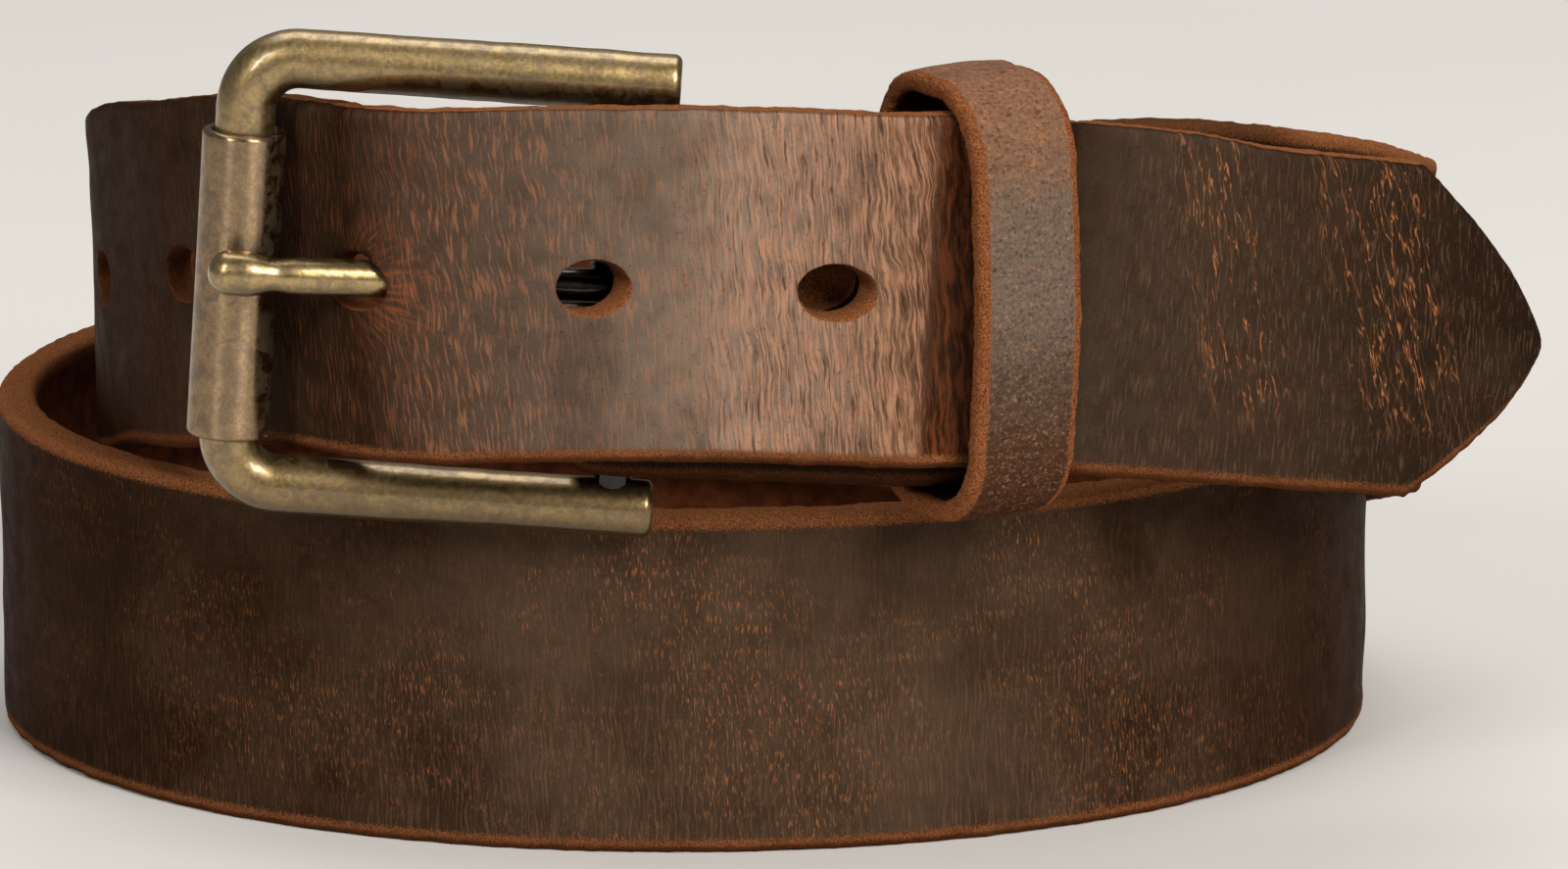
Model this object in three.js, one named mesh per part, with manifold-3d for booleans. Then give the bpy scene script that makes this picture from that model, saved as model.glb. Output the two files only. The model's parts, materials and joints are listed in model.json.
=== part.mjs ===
// A buckled leather belt, coiled in two turns and standing on its edge.
// Millimetres, +Z up, +X to the right along the front of the coil, +Y towards the back.
// The strap is laid along one route. Every leather piece keeps its thickness and width along it.

import * as THREE from 'three';
import { mergeVertices } from 'three/addons/utils/BufferGeometryUtils.js';
import Module from 'manifold-3d';

const wasm = await Module();
wasm.setup();

// Driving dimensions.
const GAP = 0.3;                    // clearance between neighbouring pieces
const STRAP_WIDTH = 38.1;
const STRAP_THICKNESS = 4.3;
const FLAP_THICKNESS = 3.0;         // the folded-back end, behind the strap
const FOLD_THICKNESS = 2.2;         // skived leather round the heel bar
const HOLE_PITCH = 25.4;
const HOLE_COUNT = 5;
const HOLE_LENGTH = 7.5;
const HOLE_HEIGHT = 5.7;
const HOLE_BEHIND_BEND = 62.8;      // from the bend back to the hole that holds the prong
const POINT_LENGTH = 17.5;          // the pointed end of the strap
const STATION_STEP = 4.5;

const HEEL = new THREE.Vector3(-17, -3.5, 63.4);
const HEEL_BAR_RADIUS = 2.0;
const BUCKLE_TILT = 4;              // degrees, the buckle's right end hangs lower
const ROD_RADIUS = 3.15;
const ARM_SPREAD = 46.7;            // between the centre lines of the two arms
const FRAME_REACH = 41.5;           // heel bar axis to end bar axis
const ARM_END = 4.5;                // how far the arms run past the heel bar axis
const SOCKET_DEPTH = 1.8;           // the heel bar's ends, past the arms' centre lines
const CORNER_RADIUS = 5.6;
const ROLLER_RADIUS = 4.5;
const ROLLER_LENGTH = 33.4;
const ROLLER_DROP = 1.4;            // the roller has slid down its bar
const PRONG_RADIUS = 2.05;
const PRONG_HEIGHT = 1.2;           // above the buckle's middle
const PRONG_EYE_WIDTH = 5.0;
const PRONG_EYE_WALL = 1.7;
const PRONG_OVERHANG = 3.1;         // past the end bar axis
const PRONG_SWELL = 0.35;           // the extra radius of its bulb
const PRONG_LIFT = 0.7;             // daylight between prong and roller
const PRONG_ROOM = 0.35;            // clearance for it through the leather

const TURN = 30;                    // degrees, direction of the strap in the keeper
const BEND = new THREE.Vector2(15.4, -11);   // where the overlapping strap bends into the keeper
const KEEPER_START = 1.8;           // from the bend, along the strap
const KEEPER_LENGTH = 12.6;
const KEEPER_WALL = 2.2;
const KEEPER_CLEARANCE = 1.2;
const KEEPER_BOTTOM = 39.8;
const KEEPER_HEIGHT = 48;
const KEEPER_CORNER = 5;
const MAIN_BEHIND_TIP = 5.5;        // centre line to centre line, inside the keeper
const FLAP_BEHIND_MAIN = STRAP_THICKNESS / 2 + 0.4 + FLAP_THICKNESS / 2;
const FLAP_LENGTH = 73;
const FLAP_TAPER = 3.5;             // each edge of the flap steps in by this much
const TIP_HINGE = 19.2;             // from the bend, where the free end starts
const TIP_LENGTH = 58.1;
const TIP_LEAN = 5;                 // degrees, the free end's top leans to the front

const COIL_Y = 62;                  // the depth of the coil's side extremes
const FASTENER_STATIONS = [15, 64]; // along the strap from the heel bar
const HEAD_RADIUS = 4;
const HEAD_THICKNESS = 1.2;
const POST_RADIUS = 2.3;
const SCREW_RADIUS = 1.5;
const SCREW_SOCKET_FLOOR = 1;
const CHAMFER = 0.4;
const DRIVER_SLOT = { length: 6, depth: 1.2, width: 1 };
const STAPLE = { wire: 0.9, crown: 9, bite: 0.5 };
const BORE_SIDES = 20;

// Materials.
const finish = (color, roughness, metalness) =>
  new THREE.MeshStandardMaterial({ color, roughness, metalness });
const leather = () => finish(0x4a352b, 0.62, 0);
const brass = () => finish(0x96835a, 0.38, 1);
const steel = () => finish(0x8c8a85, 0.35, 1);

const group = new THREE.Group();
const UP = new THREE.Vector3(0, 0, 1);
const radians = THREE.MathUtils.degToRad;
const along = new THREE.Vector2(Math.cos(radians(TURN)), Math.sin(radians(TURN)));
const behind = new THREE.Vector2(-along.y, along.x);

function add(name, geometry, material, parent = group) {
  const mesh = new THREE.Mesh(geometry, material);
  mesh.name = name;
  parent.add(mesh);
  return mesh;
}

function toSolid(geometry) {
  const bare = geometry.clone();
  bare.deleteAttribute('normal');
  bare.deleteAttribute('uv');
  const merged = mergeVertices(bare, 1e-4);
  return new wasm.Manifold(new wasm.Mesh({
    numProp: 3,
    vertProperties: new Float32Array(merged.attributes.position.array),
    triVerts: new Uint32Array(merged.index.array),
  }));
}

function toGeometry(solid) {
  const { vertProperties, triVerts } = solid.getMesh();
  const geometry = new THREE.BufferGeometry();
  geometry.setAttribute('position', new THREE.BufferAttribute(new Float32Array(vertProperties), 3));
  geometry.setIndex(new THREE.BufferAttribute(new Uint32Array(triVerts), 1));
  geometry.computeVertexNormals();
  return geometry;
}

// A closed skin through rings of points that all have the same number of corners.
function loft(rings) {
  const corners = rings[0].length;
  const positions = rings.flatMap((ring) => ring.flatMap((p) => [p.x, p.y, p.z]));
  const index = [];
  for (let i = 0; i + 1 < rings.length; i += 1) {
    for (let j = 0; j < corners; j += 1) {
      const a = i * corners + j;
      const b = i * corners + ((j + 1) % corners);
      index.push(a, b, b + corners, a, b + corners, a + corners);
    }
  }
  const last = (rings.length - 1) * corners;
  for (let j = 1; j + 1 < corners; j += 1) {
    index.push(0, j + 1, j);
    index.push(last, last + j, last + j + 1);
  }
  const geometry = new THREE.BufferGeometry();
  geometry.setAttribute('position', new THREE.Float32BufferAttribute(positions, 3));
  geometry.setIndex(index);
  geometry.computeVertexNormals();
  return geometry;
}

// A round rod along a curve, with a radius that may change from 0 to 1 along it.
function rod(curve, radiusAt, steps, sides = 12) {
  const side = new THREE.Vector3(0, 1, 0);
  const rings = [];
  for (let i = 0; i <= steps; i += 1) {
    const t = i / steps;
    const centre = curve.getPointAt(t);
    const forward = curve.getTangentAt(t);
    const across = new THREE.Vector3().crossVectors(side, forward);
    const flat = new THREE.Vector3().crossVectors(forward, across.normalize());
    const ring = [];
    for (let j = 0; j < sides; j += 1) {
      const angle = (2 * Math.PI * j) / sides;
      ring.push(centre.clone()
        .addScaledVector(flat, radiusAt(t) * Math.cos(angle))
        .addScaledVector(across, -radiusAt(t) * Math.sin(angle)));
    }
    rings.push(ring);
  }
  return loft(rings);
}

// Points of half a turn, as half an ellipse about the coil's middle line.
function halfTurn(fromX, toX, depth, heightAt, count = 12) {
  const points = [];
  for (let i = 0; i < count; i += 1) {
    const share = i / count;
    const angle = Math.PI * share;
    points.push([
      (fromX + toX) / 2 + ((fromX - toX) / 2) * Math.cos(angle),
      COIL_Y + depth * Math.sin(angle),
      heightAt(share),
    ]);
  }
  return points;
}

// A point on the keeper's straight stretch: distance from the bend, distance behind the top strap.
const onStraight = (distance, depth, height) => [
  BEND.x + along.x * distance + behind.x * depth,
  BEND.y + along.y * distance + behind.y * depth,
  height,
];

// The route of the strap's centre line: x, y and the height of the lower edge.
const route = [
  [-18.4, -6.9, 44.4],
  [-12.5, -6.7, 44.1],
  [-6, -5.7, 43.8],
  [1, -5.2, 43.5],
  [8, -5.2, 43.3],
  [12, -5.3, 43.2],
  onStraight(2.5, MAIN_BEHIND_TIP, 43.1),
  onStraight(8, MAIN_BEHIND_TIP, 42.9),
  onStraight(13.5, MAIN_BEHIND_TIP, 42.7),
  onStraight(18.5, MAIN_BEHIND_TIP, 42.5),
  [37.6, 8.3, 41.7],
  [47.2, 16.6, 39.2],
  [58.4, 28.6, 35.2],
  [66.2, 42, 30.4],
  [70.3, 53, 27.2],
  ...halfTurn(71.3, -88.2, 63, (t) => 24.9 * (1 - t) ** 2.7),
  ...halfTurn(-88.2, 65.05, -59.85, () => 0),
  ...halfTurn(65.05, -76.4, 57, (t) => 31.2 * t ** 1.15),
  [-76.4, 56, 32.2],
  [-75.6, 47, 33.6],
  [-73.8, 38, 35.9],
  [-70.4, 28, 39.2],
  [-65.4, 17.5, 41.5],
  [-59.6, 9, 43.9],
  [-53.6, 2.7, 45.6],
  [-48, -3, 46.2],
  [-43, -8.4, 46.7],
  [-37.4, -12.4, 47.3],
  [-29, -13.3, 47.7],
  [-17, -12.2, 47.6],
  [-4, -11.5, 47.3],
  [6, -11.4, 46.9],
  [12.2, -11.5, 46.7],
  onStraight(2, 0, 46.3),
  onStraight(8, 0, 45.2),
  onStraight(13.5, 0, 44.2),
  onStraight(TIP_HINGE, 0, 43.2),
  onStraight(36, 0, 40.2),
  onStraight(50, 0, 37.6),
  onStraight(64, 0, 35),
  onStraight(TIP_HINGE + TIP_LENGTH, 0, 32.2),
].map((point) => new THREE.Vector3(...point));

const centreLine = new THREE.CatmullRomCurve3(route, false, 'centripetal');
centreLine.arcLengthDivisions = 4000;
const strapLength = centreLine.getLength();
const hingeStation = strapLength - TIP_LENGTH;
const prongHoleStation = hingeStation - TIP_HINGE - HOLE_BEHIND_BEND;

// Where the strap is and which way it faces, at a distance along it from the heel bar.
function station(distance) {
  const share = THREE.MathUtils.clamp(distance / strapLength, 0, 1);
  const foot = centreLine.getPointAt(share);
  const forward = centreLine.getTangentAt(share);
  foot.z = Math.max(foot.z, 0);
  if (foot.z === 0) {
    forward.z = 0;
    forward.normalize();
  }
  const free = THREE.MathUtils.smoothstep(distance, hingeStation - 2, hingeStation + 25);
  const across = UP.clone().addScaledVector(forward, -(1 - free) * forward.dot(UP)).normalize();
  across.applyAxisAngle(forward, radians(TIP_LEAN * free));
  const outward = new THREE.Vector3().crossVectors(forward, across).normalize();
  return { foot, forward, across, outward };
}

// The four corners of a strap section.
function section(foot, across, outward, thickness, low = 0, high = STRAP_WIDTH) {
  return [[low, -1], [high, -1], [high, 1], [low, 1]].map(([height, side]) => foot.clone()
    .addScaledVector(across, height)
    .addScaledVector(outward, (side * thickness) / 2));
}

function steps(from, to, size) {
  const count = Math.max(1, Math.round((to - from) / size));
  return Array.from({ length: count + 1 }, (_, i) => from + ((to - from) * i) / count);
}

// An oval or round punch through the middle of the strap, at a distance along it.
function punch(distance, length, tall, back = -6, front = 6) {
  const place = station(distance);
  const sides = 16;
  const rings = [back, front].map((offset) => Array.from({ length: sides }, (_, i) => {
    const angle = (2 * Math.PI * i) / sides;
    return place.foot.clone()
      .addScaledVector(place.across, STRAP_WIDTH / 2 + (tall / 2) * Math.sin(angle))
      .addScaledVector(place.forward, (length / 2) * Math.cos(angle))
      .addScaledVector(place.outward, offset);
  }));
  return toSolid(loft(rings));
}

// A cylinder about an upright line through the strap, used at the free end's hinge.
function hingePin(place, radius, from, to) {
  const pin = new THREE.CylinderGeometry(radius, radius, to - from, 24);
  pin.rotateX(Math.PI / 2);
  pin.translate(0, 0, (from + to) / 2);
  const turn = new THREE.Quaternion().setFromUnitVectors(UP, place.across);
  pin.applyQuaternion(turn);
  pin.translate(place.foot.x, place.foot.y, place.foot.z);
  return toSolid(pin);
}

// Prong, in the buckle's own frame: an eye round the heel bar and a rod that rests on the roller.
function prongLine() {
  const rest = ROLLER_RADIUS + PRONG_RADIUS + PRONG_LIFT;
  return new THREE.CatmullRomCurve3([
    new THREE.Vector3(-1.0, -2.3, PRONG_HEIGHT),
    new THREE.Vector3(-12, -3.7, PRONG_HEIGHT),
    new THREE.Vector3(-24, -5.0, PRONG_HEIGHT),
    new THREE.Vector3(-FRAME_REACH + 6, -rest + 0.5, PRONG_HEIGHT),
    new THREE.Vector3(-FRAME_REACH, -rest, PRONG_HEIGHT),
    new THREE.Vector3(-FRAME_REACH - PRONG_OVERHANG, -rest + 0.8, PRONG_HEIGHT),
  ], false, 'centripetal');
}

const buckle = new THREE.Group();
buckle.position.copy(HEEL);
buckle.rotation.y = radians(BUCKLE_TILT);
buckle.updateMatrix();

function makeFrame() {
  const half = ARM_SPREAD / 2;
  const path = new THREE.CurvePath();
  const point = (x, z) => new THREE.Vector3(x, 0, z);
  const left = -FRAME_REACH;
  const pull = CORNER_RADIUS * 0.45;
  const corner = (z) => {
    const upper = Math.sign(z);
    const side = [point(left + CORNER_RADIUS, z), point(left + pull, z)];
    const end = [point(left, z - upper * pull), point(left, z - upper * CORNER_RADIUS)];
    const order = [...side, ...end];
    return new THREE.CubicBezierCurve3(...(z > 0 ? order : order.reverse()));
  };
  path.add(new THREE.LineCurve3(point(ARM_END, half), point(left + CORNER_RADIUS, half)));
  path.add(corner(half));
  path.add(new THREE.LineCurve3(point(left, half - CORNER_RADIUS), point(left, CORNER_RADIUS - half)));
  path.add(corner(-half));
  path.add(new THREE.LineCurve3(point(left + CORNER_RADIUS, -half), point(ARM_END, -half)));
  const sockets = bore(HEEL_BAR_RADIUS + GAP, 2 * (half + SOCKET_DEPTH + GAP));
  return toGeometry(toSolid(rod(path, () => ROD_RADIUS, 72, 14)).subtract(sockets));
}

// A round bore about the heel bar's axis.
function bore(radius, length) {
  const plug = new THREE.CylinderGeometry(radius, radius, length, BORE_SIDES);
  plug.rotateX(Math.PI / 2);
  return toSolid(plug);
}

function makeHeelBar() {
  const outer = ARM_SPREAD / 2 + SOCKET_DEPTH;
  const profile = [
    [0, -outer], [HEEL_BAR_RADIUS - CHAMFER, -outer], [HEEL_BAR_RADIUS, CHAMFER - outer],
    [HEEL_BAR_RADIUS, outer - CHAMFER], [HEEL_BAR_RADIUS - CHAMFER, outer], [0, outer],
  ].map(([r, z]) => new THREE.Vector2(r, z));
  const bar = new THREE.LatheGeometry(profile, 16);
  bar.rotateX(Math.PI / 2);
  return toGeometry(toSolid(bar));
}

function makeRoller() {
  const inner = ROD_RADIUS + 0.25;
  const half = ROLLER_LENGTH / 2;
  const lip = 0.5;
  const profile = [
    [inner, -half], [ROLLER_RADIUS - lip, -half], [ROLLER_RADIUS, -half + lip],
    [ROLLER_RADIUS, half - lip], [ROLLER_RADIUS - lip, half], [inner, half], [inner, -half],
  ].map(([r, z]) => new THREE.Vector2(r, z));
  const sleeve = new THREE.LatheGeometry(profile, 28);
  sleeve.rotateX(Math.PI / 2);
  sleeve.translate(-FRAME_REACH, 0, -ROLLER_DROP);
  return toGeometry(toSolid(sleeve));
}

function prongSolid(extra, lift = 0) {
  const swell = (t) => {
    const nose = Math.min(1, Math.sqrt(Math.max(0, (1 - t) / 0.035)) * 0.75 + 0.25);
    return (PRONG_RADIUS + PRONG_SWELL * THREE.MathUtils.smoothstep(t, 0.8, 0.93) + extra) * nose;
  };
  const eyeRadius = HEEL_BAR_RADIUS + GAP + PRONG_EYE_WALL + extra;
  const eyeWidth = PRONG_EYE_WIDTH + 2 * extra;
  const eye = new THREE.CylinderGeometry(eyeRadius, eyeRadius, eyeWidth, BORE_SIDES);
  eye.rotateX(Math.PI / 2);
  eye.translate(0, 0, PRONG_HEIGHT);
  const shank = rod(prongLine(), swell, 40, 14);
  for (const piece of [eye, shank]) {
    piece.rotateZ(radians(lift));
  }
  return toSolid(shank).add(toSolid(eye));
}

function makeProng() {
  return toGeometry(prongSolid(0).subtract(bore(HEEL_BAR_RADIUS + GAP, ARM_SPREAD)));
}

// Room round the prong, in the object's frame, for its own lift and the buckle's tilt.
function prongRoom() {
  let room = prongSolid(PRONG_ROOM);
  for (const lift of [1.5, 3]) {
    room = room.add(prongSolid(PRONG_ROOM, lift));
  }
  return room.transform(buckle.matrix.toArray());
}

function makeStrap() {
  const rings = [];
  const thicknessAt = (s) => THREE.MathUtils.lerp(
    FOLD_THICKNESS,
    STRAP_THICKNESS,
    THREE.MathUtils.smoothstep(s, 4, 15),
  );
  for (const s of steps(0, FLAP_LENGTH, STATION_STEP).reverse()) {
    const place = station(s);
    const ease = THREE.MathUtils.smoothstep(s, 3, 11);
    const back = THREE.MathUtils.lerp(2 * (HEEL.y - route[0].y), FLAP_BEHIND_MAIN, ease);
    const thickness = THREE.MathUtils.lerp(FOLD_THICKNESS, FLAP_THICKNESS, ease);
    place.foot.addScaledVector(place.outward, -back);
    const low = FLAP_TAPER * THREE.MathUtils.smoothstep(s, 4, 24);
    place.outward.negate();
    rings.push(section(place.foot, place.across, place.outward, thickness, low, STRAP_WIDTH - low));
  }
  const start = station(0);
  const radius = HEEL.y - route[0].y;
  for (let i = 1; i < 12; i += 1) {
    const angle = Math.PI / 2 + (Math.PI * i) / 12;
    const outward = new THREE.Vector3(Math.cos(angle), Math.sin(angle), 0);
    const foot = new THREE.Vector3(route[0].x, HEEL.y, start.foot.z).addScaledVector(outward, radius);
    foot.z += radius * Math.abs(Math.cos(angle)) * Math.tan(radians(BUCKLE_TILT));
    rings.push(section(foot, start.across, outward, FOLD_THICKNESS));
  }
  for (const s of steps(0, hingeStation, STATION_STEP)) {
    const place = station(s);
    rings.push(section(place.foot, place.across, place.outward, thicknessAt(s)));
  }
  let strap = toSolid(loft(rings));
  for (let i = 0; i < HOLE_COUNT; i += 1) {
    const fromMiddle = (HOLE_COUNT - 1) / 2 - i;
    strap = strap.subtract(punch(prongHoleStation + fromMiddle * HOLE_PITCH, HOLE_LENGTH, HOLE_HEIGHT));
  }
  for (const at of FASTENER_STATIONS) {
    const hole = 2 * (POST_RADIUS + GAP);
    strap = strap.subtract(punch(at, hole, hole, -9, 3));
  }
  strap = strap.subtract(prongRoom());
  const hingeRoom = STRAP_THICKNESS / 2 + GAP;
  strap = strap.subtract(hingePin(station(hingeStation), hingeRoom, -5, STRAP_WIDTH + 5));
  return toGeometry(strap);
}

function makeStrapTip() {
  const rings = [];
  const shoulder = strapLength - POINT_LENGTH;
  const middle = STRAP_WIDTH / 2;
  const point = steps(shoulder, strapLength - 0.4, 1.4).slice(1);
  for (const s of [...steps(hingeStation, shoulder, 9), ...point]) {
    const { foot, across, outward } = station(s);
    const half = middle * Math.min(1, (strapLength - s) / POINT_LENGTH) ** 0.68;
    rings.push(section(foot, across, outward, STRAP_THICKNESS, middle - half, middle + half));
  }
  const inset = 0.2;
  const knuckle = STRAP_THICKNESS / 2 - inset;
  const end = hingePin(station(hingeStation), knuckle, inset, STRAP_WIDTH - inset);
  return toGeometry(toSolid(loft(rings)).add(end));
}

function roundedRectangle(width, height, radius) {
  const shape = new THREE.Shape();
  const x = width / 2;
  const y = height / 2;
  shape.moveTo(radius - x, -y);
  shape.absarc(x - radius, radius - y, radius, -Math.PI / 2, 0);
  shape.absarc(x - radius, y - radius, radius, 0, Math.PI / 2);
  shape.absarc(radius - x, y - radius, radius, Math.PI / 2, Math.PI);
  shape.absarc(radius - x, radius - y, radius, Math.PI, 1.5 * Math.PI);
  return shape;
}

const keeperInside = STRAP_THICKNESS / 2 + MAIN_BEHIND_TIP + FLAP_BEHIND_MAIN
  + FLAP_THICKNESS / 2 + 2 * KEEPER_CLEARANCE;

// Keeper frame: x across the stack, y up, z along the strap.
const keeperMiddle = keeperInside / 2 - STRAP_THICKNESS / 2 - KEEPER_CLEARANCE;
const keeperCentre = onStraight(KEEPER_START, keeperMiddle, KEEPER_BOTTOM + KEEPER_HEIGHT / 2);
const keeperTurn = new THREE.Matrix4().makeBasis(
  new THREE.Vector3(behind.x, behind.y, 0),
  UP,
  new THREE.Vector3(along.x, along.y, 0),
).setPosition(...keeperCentre);

function makeKeeper() {
  const loop = roundedRectangle(keeperInside + 2 * KEEPER_WALL, KEEPER_HEIGHT, KEEPER_CORNER);
  const insideHeight = KEEPER_HEIGHT - 2 * KEEPER_WALL;
  loop.holes.push(roundedRectangle(keeperInside, insideHeight, KEEPER_CORNER - KEEPER_WALL));
  const settings = { depth: KEEPER_LENGTH, bevelEnabled: false, curveSegments: 6 };
  const solid = toSolid(new THREE.ExtrudeGeometry(loop, settings));
  const geometry = toGeometry(solid.subtract(stapleSolid(GAP)));
  geometry.applyMatrix4(keeperTurn);
  return geometry;
}

// The staple that closes the keeper: a crown outside the back wall and two legs through it.
function stapleSolid(extra) {
  const wire = STAPLE.wire + 2 * extra;
  const outside = keeperInside / 2 + KEEPER_WALL;
  const crown = new THREE.BoxGeometry(wire, STAPLE.crown + 2 * extra, wire);
  crown.translate(outside, 0, KEEPER_LENGTH / 2);
  let staple = toSolid(crown);
  for (const side of [-1, 1]) {
    const reach = KEEPER_WALL - STAPLE.bite + extra;
    const leg = new THREE.BoxGeometry(reach, wire, wire);
    leg.translate(outside - reach / 2, (side * (STAPLE.crown - STAPLE.wire)) / 2, KEEPER_LENGTH / 2);
    staple = staple.add(toSolid(leg));
  }
  return staple;
}

function makeStaple() {
  const geometry = toGeometry(stapleSolid(0));
  geometry.applyMatrix4(keeperTurn);
  return geometry;
}

// A turned piece whose axis runs from the back of the strap (0) to its front, at a fastener.
function atFastener(profile, distance, cut) {
  const lathe = new THREE.LatheGeometry(profile.map(([r, y]) => new THREE.Vector2(r, y)), 20);
  let solid = toSolid(lathe);
  if (cut) {
    solid = solid.subtract(toSolid(cut));
  }
  const geometry = toGeometry(solid);
  const place = station(distance);
  const back = FLAP_BEHIND_MAIN + FLAP_THICKNESS / 2;
  const origin = place.foot.clone()
    .addScaledVector(place.across, STRAP_WIDTH / 2)
    .addScaledVector(place.outward, -back);
  const basis = new THREE.Matrix4().makeBasis(
    new THREE.Vector3().crossVectors(place.outward, place.across),
    place.outward,
    place.across,
  ).setPosition(origin);
  geometry.applyMatrix4(basis);
  return geometry;
}

const stack = FLAP_BEHIND_MAIN + FLAP_THICKNESS / 2 + STRAP_THICKNESS / 2;

function makePost(distance) {
  const inside = SCREW_RADIUS + GAP;
  const under = -GAP - HEAD_THICKNESS;
  return atFastener([
    [0, under], [HEAD_RADIUS - CHAMFER, under], [HEAD_RADIUS, under + CHAMFER],
    [HEAD_RADIUS, -GAP], [POST_RADIUS, -GAP], [POST_RADIUS, stack - GAP], [inside, stack - GAP],
    [inside, SCREW_SOCKET_FLOOR], [0, SCREW_SOCKET_FLOOR],
  ], distance);
}

function makeScrew(distance) {
  const top = stack + GAP + HEAD_THICKNESS;
  const slot = new THREE.BoxGeometry(DRIVER_SLOT.length, DRIVER_SLOT.depth, DRIVER_SLOT.width);
  slot.translate(0, top, 0);
  const point = SCREW_SOCKET_FLOOR + GAP;
  return atFastener([
    [0, point], [SCREW_RADIUS, point], [SCREW_RADIUS, stack + GAP], [HEAD_RADIUS, stack + GAP],
    [HEAD_RADIUS, top - CHAMFER], [HEAD_RADIUS - CHAMFER, top], [0, top],
  ], distance, slot);
}

add('strap', makeStrap(), leather());
add('strap_tip', makeStrapTip(), leather());
add('keeper', makeKeeper(), leather());
add('keeper_staple', makeStaple(), steel());
add('buckle_frame', makeFrame(), brass(), buckle);
add('heel_bar', makeHeelBar(), steel(), buckle);
add('roller', makeRoller(), brass(), buckle);
add('prong', makeProng(), brass(), buckle);
FASTENER_STATIONS.forEach((distance, i) => {
  add(`screw_post_${i + 1}`, makePost(distance), brass());
  add(`screw_${i + 1}`, makeScrew(distance), brass());
});
group.add(buckle);

// The origin is the middle of the underside.
group.updateMatrixWorld(true);
const extent = new THREE.Box3().setFromObject(group, true);
const middle = extent.getCenter(new THREE.Vector3());
group.position.set(-middle.x, -middle.y, -extent.min.z);

export default group;
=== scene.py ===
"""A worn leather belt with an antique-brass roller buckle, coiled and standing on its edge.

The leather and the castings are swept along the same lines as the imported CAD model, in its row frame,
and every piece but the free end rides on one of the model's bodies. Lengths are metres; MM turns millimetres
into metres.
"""
import json
import math

import bmesh
import bpy
import numpy as np
from mathutils import Matrix, Vector, noise


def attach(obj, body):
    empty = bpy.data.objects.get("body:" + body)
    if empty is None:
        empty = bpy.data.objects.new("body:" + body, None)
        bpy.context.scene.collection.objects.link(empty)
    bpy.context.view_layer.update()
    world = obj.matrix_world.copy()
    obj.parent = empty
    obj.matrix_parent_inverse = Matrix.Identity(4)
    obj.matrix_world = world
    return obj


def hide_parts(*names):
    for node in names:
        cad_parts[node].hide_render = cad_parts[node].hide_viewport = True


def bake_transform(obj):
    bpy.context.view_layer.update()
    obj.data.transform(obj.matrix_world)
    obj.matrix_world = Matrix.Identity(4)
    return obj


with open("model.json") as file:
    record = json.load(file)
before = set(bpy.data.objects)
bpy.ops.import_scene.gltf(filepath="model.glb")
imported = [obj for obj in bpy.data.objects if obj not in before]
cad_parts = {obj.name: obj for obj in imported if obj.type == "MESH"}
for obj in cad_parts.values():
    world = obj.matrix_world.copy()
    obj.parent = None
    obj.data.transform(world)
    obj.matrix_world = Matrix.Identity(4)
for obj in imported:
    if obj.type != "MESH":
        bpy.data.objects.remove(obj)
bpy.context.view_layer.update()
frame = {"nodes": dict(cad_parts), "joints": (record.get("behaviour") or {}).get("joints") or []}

MM = 0.001
JOINTS = {joint["name"]: joint for joint in frame["joints"]}
HEEL = Vector(JOINTS["prong_pivot"]["pos_m"])

# The strap. Depth runs from the front of the coil to its back.
STRAP_WIDTH = 38.1
STRAP_THICKNESS = 4.3
FLAP_THICKNESS = 3.0
FOLD_THICKNESS = 2.2
ARRIS = 1.0                      # rounding of the raw edges
FLAP_LENGTH = 73
FLAP_TAPER = 3.5
HOLE_PITCH = 25.4
HOLE_LENGTH = 7.5
HOLE_HEIGHT = 5.7
POINT_LENGTH = 17.5
HEEL_DRAWN = (-17, -3.5, 63.4)   # the heel bar's middle in the route's own coordinates
COIL_Y = 62
TURN = math.radians(30)
BEND = (15.4, -11)
MAIN_BEHIND_TIP = 5.5
FLAP_BEHIND_MAIN = 4.05
TIP_HINGE = 19.2
TIP_LENGTH = 58.1
TIP_LEAN = math.radians(5)
KEEPER_START = 1.8
KEEPER_LENGTH = 12.6
KEEPER_INSIDE = 15.6
KEEPER_WALL = 2.2
KEEPER_CLEARANCE = 1.2
KEEPER_BOTTOM = 39.8
KEEPER_HEIGHT = 48
KEEPER_ROWS = 260                # rings of vertices round the loop
KEEPER_BOW = 2.2                 # how far its front wall stands out
KEEPER_BEND = 7.8                # outer radius of its corners
FASTENER_STATIONS = (15, 64)
FASTENER_HOLE = 5.2
PRONG_BEFORE_BEND = 62.8
PRONG_HOLE_SHIFT = (1.3, 0.3)    # the prong has drawn its hole this far along and up the strap
PRONG_HOLE_SIZE = (9.8, 5.8)
PRONG_ROOM = 0.85                # what the prong's rod clears in the strap on each side
RAW_WEAR = (1.0, 0.5)            # wear layer of leather that was cut through
ROW_STEP = 0.85                  # between the strap's rings of vertices
HALF_TURN_POINTS = 12

# The buckle, about the middle of its heel bar: x to the right, z up along the bar.
BUCKLE_TILT = math.radians(4)
ROD_RADIUS = 3.15
ARM_SPREAD = 46.7
FRAME_REACH = 41.5
ARM_END = 4.5
ARM_ROUNDING = 0.9
CORNER_RADIUS = 5.6
ROLLER_RADIUS = 4.5
ROLLER_LENGTH = 33.4
ROLLER_DROP = 1.4
PRONG_RADIUS = 2.05
PRONG_HEIGHT = 1.2
HEEL_BAR_RADIUS = 2.0
EYE_HALF_HEIGHT = 2.5
PRONG_VOXEL = 0.22               # how finely the prong's rod and eye are melted together

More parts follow.
